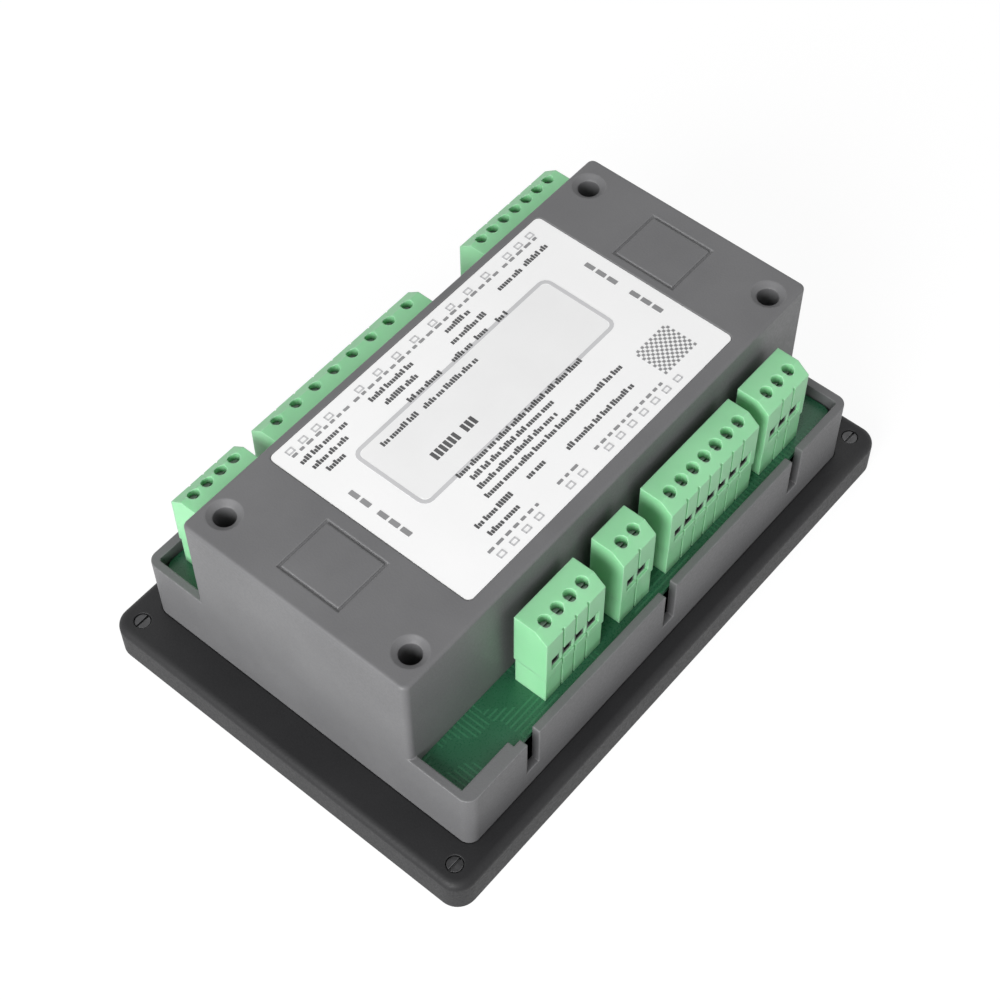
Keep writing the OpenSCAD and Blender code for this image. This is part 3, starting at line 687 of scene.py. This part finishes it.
def printed_outline(x, y, z, length, width, line, corner, sides=0):
    bpy.ops.object.select_all(action="DESELECT")
    if sides:
        bpy.ops.mesh.primitive_circle_add(vertices=sides, radius=0.5, fill_type="NGON", location=(x, y, z))
    else:
        bpy.ops.mesh.primitive_plane_add(size=1, location=(x, y, z))
    outline = bpy.context.object
    bpy.ops.object.mode_set(mode="EDIT")
    bpy.ops.transform.resize(value=(length, width, 1), center_override=(x, y, z))
    if corner:
        bpy.ops.mesh.bevel(offset=corner, segments=OUTLINE_SEGMENTS, affect="VERTICES")
        bpy.ops.mesh.select_all(action="SELECT")
    if line:
        bpy.ops.mesh.inset(thickness=line, depth=0)
        bpy.ops.mesh.delete(type="FACE")
    pull_up()
    return settle(outline)


def stamped(block, x, y):
    copy = block.copy()
    copy.data = block.data.copy()
    copy.location = (x * MM, y * MM, 0)
    bpy.context.collection.objects.link(copy)
    return copy


def stamp_all(block, places):
    copies = [stamped(block, x, y) for x, y in places]
    bpy.data.objects.remove(block)
    return copies


def join_print(name, parts, material, body):
    bpy.ops.object.select_all(action="DESELECT")
    for part in parts:
        part.select_set(True)
    bpy.context.view_layer.objects.active = parts[0]
    if len(parts) > 1:
        bpy.ops.object.join()
    whole = settle(bpy.context.view_layer.objects.active)
    whole.name = name
    whole.data.name = name
    whole.data.materials.clear()
    whole.data.materials.append(material)
    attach(whole, body)
    return whole


print("printing tools ready, ink %.2f mm" % (INK / MM))

# %% [markdown]
# ## The label's print
# The label carries a drawing of the wiring: a large pale field with an outline in the middle, blocks of
# lines round it, small marks along its sides, and a chequered patch at one end. Places are measured in
# millimetres from the label's middle. A line is a row of blocks that stand for letters, tall ones and low
# ones, set in words. Both blocks are modelled once and copied, and a seeded draw picks the next one. Two
# words in the middle are larger.

# %% Print the label's lines
LETTER_W = 0.72
LETTER_PITCH = 0.94
LETTER_HEIGHTS = (1.75, 1.25)
TALL_SHARE = 0.35
WORD_LETTERS = (3, 8)
WORD_GAP = 0.55
SEED = 8
CORNER = 0.14
BIG_W, BIG_H = 1.2, 3
BIG_PITCH = 1.7
BIG_Y = 1.6
BIG_WORDS = ((-27.1, 6), (-15.0, 3))
LINES = (
    (-51.4, -32.9, 27.1), (-50.4, -37.4, 23.7), (-48.4, -42.4, 20.3),
    (-24.4, -7.4, 27.1), (-22.4, -9.4, 23.3), (-17.9, -4.9, 19.1), (-33.4, -18.9, 14.7), (-16.9, 4.6, 14.5),
    (6.6, 16.1, 27.2), (4.6, 18.6, 23.3), (0.1, 7.6, 19.1), (10.1, 15.1, 19.3), (18.6, 23.1, 18.9),
    (27.6, 37.6, 25.9), (39.1, 49.1, 26.1),
    (-28.4, 23.6, -7.3), (-26.4, 6.6, -10.5), (-27.4, 4.1, -13.8), (-28.4, 28.6, -17.1),
    (-37.4, -23.4, -21.4), (-16.9, -9.4, -21.4), (-2.9, 25.1, -23.5), (-36.9, -25.4, -25.3),
)
draw = random.Random(SEED)
label_mid = (label_low + label_high) / 2
label_z = label_top + (INK - SINK) / 2


def label_bar(x, y, length, width, corner, z=label_z):
    return printed_bar(
        label_mid.x + x * MM, label_mid.y + y * MM, z, length * MM, width * MM, corner * MM)


def label_frame(x, y, length, width, line, corner):
    return printed_outline(
        label_mid.x + x * MM, label_mid.y + y * MM, label_top - SINK,
        length * MM, width * MM, line * MM, corner * MM)


def printed_line(blocks, start, end, y):
    letters = []
    x = start + LETTER_W / 2
    while x < end:
        for _ in range(draw.randint(*WORD_LETTERS)):
            block = blocks[0] if draw.random() < TALL_SHARE else blocks[1]
            letters.append(stamped(block, x, y))
            x += LETTER_PITCH
            if x > end:
                break
        x += WORD_GAP
    return letters


tall = LETTER_HEIGHTS[0]
letter_blocks = [label_bar(0, (h - tall) / 2, LETTER_W, h, CORNER) for h in LETTER_HEIGHTS]
print_parts = []
for start, end, y in LINES:
    print_parts += printed_line(letter_blocks, start, end, y)
for block in letter_blocks:
    bpy.data.objects.remove(block)
big_places = [(start + n * BIG_PITCH, BIG_Y) for start, letters in BIG_WORDS for n in range(letters)]
print_parts += stamp_all(label_bar(0, 0, BIG_W, BIG_H, CORNER), big_places)
label_lines = join_print("label_lines", print_parts, ink_dark, "case")
print("label lines:", len(label_lines.data.polygons), "faces")

# %% [markdown]
# The drawing has the pale field with its border, rows of small squares along both long sides, a broken line
# beside each row, and short bars at both ends. The field's ink is sunk deeper than the rest, so that the
# large words stand above it.

# %% Print the label's drawing
FIELD = (-0.8, 5.7, 78, 24)
FIELD_CORNER = 2.5
BORDER = 1.2
BORDER_CORNER = 3
SQUARE_L, SQUARE_W = 2.6, 2
SQUARE_LINE = 0.5
SQUARE_CORNER = 0.3
SQUARES = (
    (-31.7, (-39.4, -34.4, -29.4, -24.4, -11.4, -6.4, 4.6, 9.6, 14.6, 19.6, 24.6, 29.6, 34.6)),
    (31.9, (-50.4, -45.4, -40.4, -35.4, -23.4, -15.9, -8.4, -0.9, 6.6, 14.1, 21.6, 29.1, 38.6, 43.6, 48.6)),
)
DASH_H = 0.9
DASH_LENGTHS = (1.2, 2.6)
DASH_GAP = 1.1
DASHED = (
    (-51.4, -29.4, 30.1), (-27.4, 32.6, 30.1), (34.6, 50.6, 30.1),
    (-41.4, -21.4, -28.9), (-13.4, -3.4, -28.9), (1.6, 30.6, -29.3),
)
END_W, END_H = 1.6, 3.2
END_BARS = (
    (-49.9, (-10.1, -6.1, -2.1, 3.9, 7.9)),
    (50.6, (-14.1, -10.1, -6.1, 1.9, 5.9, 9.9)),
)


def printed_dashes(start, end, y):
    dashes = []
    x = start
    while end - x > DASH_H:
        dash = min(draw.uniform(*DASH_LENGTHS), end - x)
        dashes.append(label_bar(x + dash / 2, y, dash, DASH_H, CORNER))
        x += dash + DASH_GAP
    return dashes


field = label_bar(*FIELD, FIELD_CORNER, z=label_top - SINK / 2)
label_field = join_print("label_field", [field], ink_faint, "case")
border = label_frame(*FIELD[:2], *[v + 2 * BORDER for v in FIELD[2:]], BORDER, BORDER_CORNER)
square = label_frame(0, 0, SQUARE_L, SQUARE_W, SQUARE_LINE, SQUARE_CORNER)
squares = stamp_all(square, [(x, y) for y, places in SQUARES for x in places])
label_outlines = join_print("label_outlines", [border, *squares], ink_pale, "case")
marks = []
for start, end, y in DASHED:
    marks += printed_dashes(start, end, y)
end_bar = label_bar(0, END_H / 2, END_W, END_H, CORNER)
marks += stamp_all(end_bar, [(x, y) for x, lows in END_BARS for y in lows])
label_marks = join_print("label_marks", marks, ink_grey, "case")
for piece in (label_field, label_outlines, label_marks):
    print(piece.name + ":", len(piece.data.polygons), "faces")

# %% [markdown]
# The chequered patch is one grid. Every second face is kept, so it stays a plain pattern. The kept faces are
# drawn in a little, so that they don't touch at their corners, and pulled up as ink.

# %% Print the chequered patch
PATCH_X, PATCH_Y = 40.6 * MM, -22.9 * MM
PATCH_L, PATCH_W = 14 * MM, 11.2 * MM
PATCH_COLUMNS, PATCH_ROWS = 15, 12
PATCH_GAP = 0.06 * MM
patch_place = (label_mid.x + PATCH_X, label_mid.y + PATCH_Y, label_top - SINK)
bpy.ops.object.select_all(action="DESELECT")
bpy.ops.mesh.primitive_grid_add(
    x_subdivisions=PATCH_COLUMNS, y_subdivisions=PATCH_ROWS, size=1, location=patch_place)
patch = bpy.context.object
bpy.ops.object.mode_set(mode="EDIT")
bpy.ops.transform.resize(value=(PATCH_L, PATCH_W, 1))
bpy.ops.mesh.select_mode(type="FACE")
patch_mesh = bmesh.from_edit_mesh(patch.data)
for face in patch_mesh.faces:
    middle = face.calc_center_median()
    column = round((middle.x / PATCH_L + 0.5) * PATCH_COLUMNS - 0.5)
    row = round((middle.y / PATCH_W + 0.5) * PATCH_ROWS - 0.5)
    face.select_set((column + row) % 2 == 0)
bmesh.update_edit_mesh(patch.data)
bpy.ops.mesh.inset(thickness=PATCH_GAP / 2, depth=0, use_individual=True)
bpy.ops.mesh.select_all(action="INVERT")
bpy.ops.mesh.delete(type="FACE")
pull_up()
bpy.ops.mesh.select_mode(type="VERT")
settle(patch)
label_patch = join_print("label_patch", [patch], ink_grey, "case")
print("label patch:", len(label_patch.data.polygons), "faces")

# %% [markdown]
# ## The front's print
# The front isn't seen in the photograph. Such fronts are printed with a pale line round the display and round
# the keys. Each key has a plain sign: a ring for stop, a bar for start, a dot in a square for work by hand, a
# triangle in a ring for work by itself, three bars for a menu and arrows for scrolling. Each sign rides on
# its key.

# %% Print the front
KEYS = ("stop", "manual", "auto", "menu", "start", "up", "down")
DISPLAY_L, DISPLAY_W = 88 * MM, 58 * MM
DISPLAY_LINE = 0.8 * MM
DISPLAY_CORNER = 2.5 * MM
AROUND_L, AROUND_W = 18.6 * MM, 14.6 * MM
AROUND_LINE = 0.5 * MM
AROUND_CORNER = 3.6 * MM
SIGN = 6 * MM
SIGN_LINE = 0.8 * MM
STOP_LINE = 1 * MM
START_W = 1.1 * MM
SQUARE_ROUND = 1.2 * MM
DOT = 2 * MM
TRIANGLE = 2.8 * MM
TRIANGLE_ROUND = 0.2 * MM
ARROW = 5.4 * MM
ARROW_ROUND = 0.4 * MM
MENU_W = 0.9 * MM
MENU_STEPS = ((0, -2), (0, 0), (0, 2))
BAR_ROUND = 0.3 * MM
RING_SIDES = 40
DOT_SIDES = 24
panel_ink = panel_face - INK
key_ink = key_face - INK
bar_ink = key_ink + (INK + SINK) / 2


def middle_of(node):
    low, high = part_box(node)
    return (low + high) / 2


display = middle_of("display_lens")
display_line = printed_outline(
    display.x, display.y, panel_ink, DISPLAY_L, DISPLAY_W, DISPLAY_LINE, DISPLAY_CORNER)
around = printed_outline(0, 0, panel_ink, AROUND_L, AROUND_W, AROUND_LINE, AROUND_CORNER)
spots = [middle_of("key_" + key) for key in KEYS]
around_keys = stamp_all(around, [(spot.x / MM, spot.y / MM) for spot in spots])
front_lines = join_print("front_lines", [display_line, *around_keys], ink_pale, "case")

signs = {
    "stop": lambda p: [printed_outline(p.x, p.y, key_ink, SIGN, SIGN, STOP_LINE, 0, sides=RING_SIDES)],
    "start": lambda p: [printed_bar(p.x, p.y, bar_ink, START_W, SIGN, BAR_ROUND)],
    "manual": lambda p: [
        printed_outline(p.x, p.y, key_ink, SIGN, SIGN, SIGN_LINE, SQUARE_ROUND),
        printed_outline(p.x, p.y, key_ink, DOT, DOT, 0, 0, sides=DOT_SIDES),
    ],
    "auto": lambda p: [
        printed_outline(p.x, p.y, key_ink, SIGN, SIGN, SIGN_LINE, 0, sides=RING_SIDES),
        printed_outline(p.x, p.y, key_ink, TRIANGLE, TRIANGLE, 0, TRIANGLE_ROUND, sides=3),
    ],
    "menu": lambda p: stamp_all(printed_bar(p.x, p.y, bar_ink, SIGN, MENU_W, BAR_ROUND), MENU_STEPS),
    "up": lambda p: [printed_outline(p.x, p.y, key_ink, ARROW, ARROW, 0, ARROW_ROUND, sides=3)],
    "down": lambda p: [printed_outline(p.x, p.y, key_ink, ARROW, -ARROW, 0, ARROW_ROUND, sides=3)],
}
for key, draw_sign in signs.items():
    join_print("sign_" + key, draw_sign(middle_of("key_" + key)), ink_white, key + "_key")
print("front print:", len(front_lines.data.polygons), "faces of outlines and", len(signs), "signs")

# %% [markdown]
# The finished part has to stay in the box of the CAD solids. Both boxes are written down for comparison.

# %% Write the sizes and finish
bpy.ops.object.select_all(action="DESELECT")
visual_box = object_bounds()
for title, box in (("cad box", cad_box), ("visual box", visual_box)):
    print(title, [[round(v, 4) for v in corner] for corner in box])
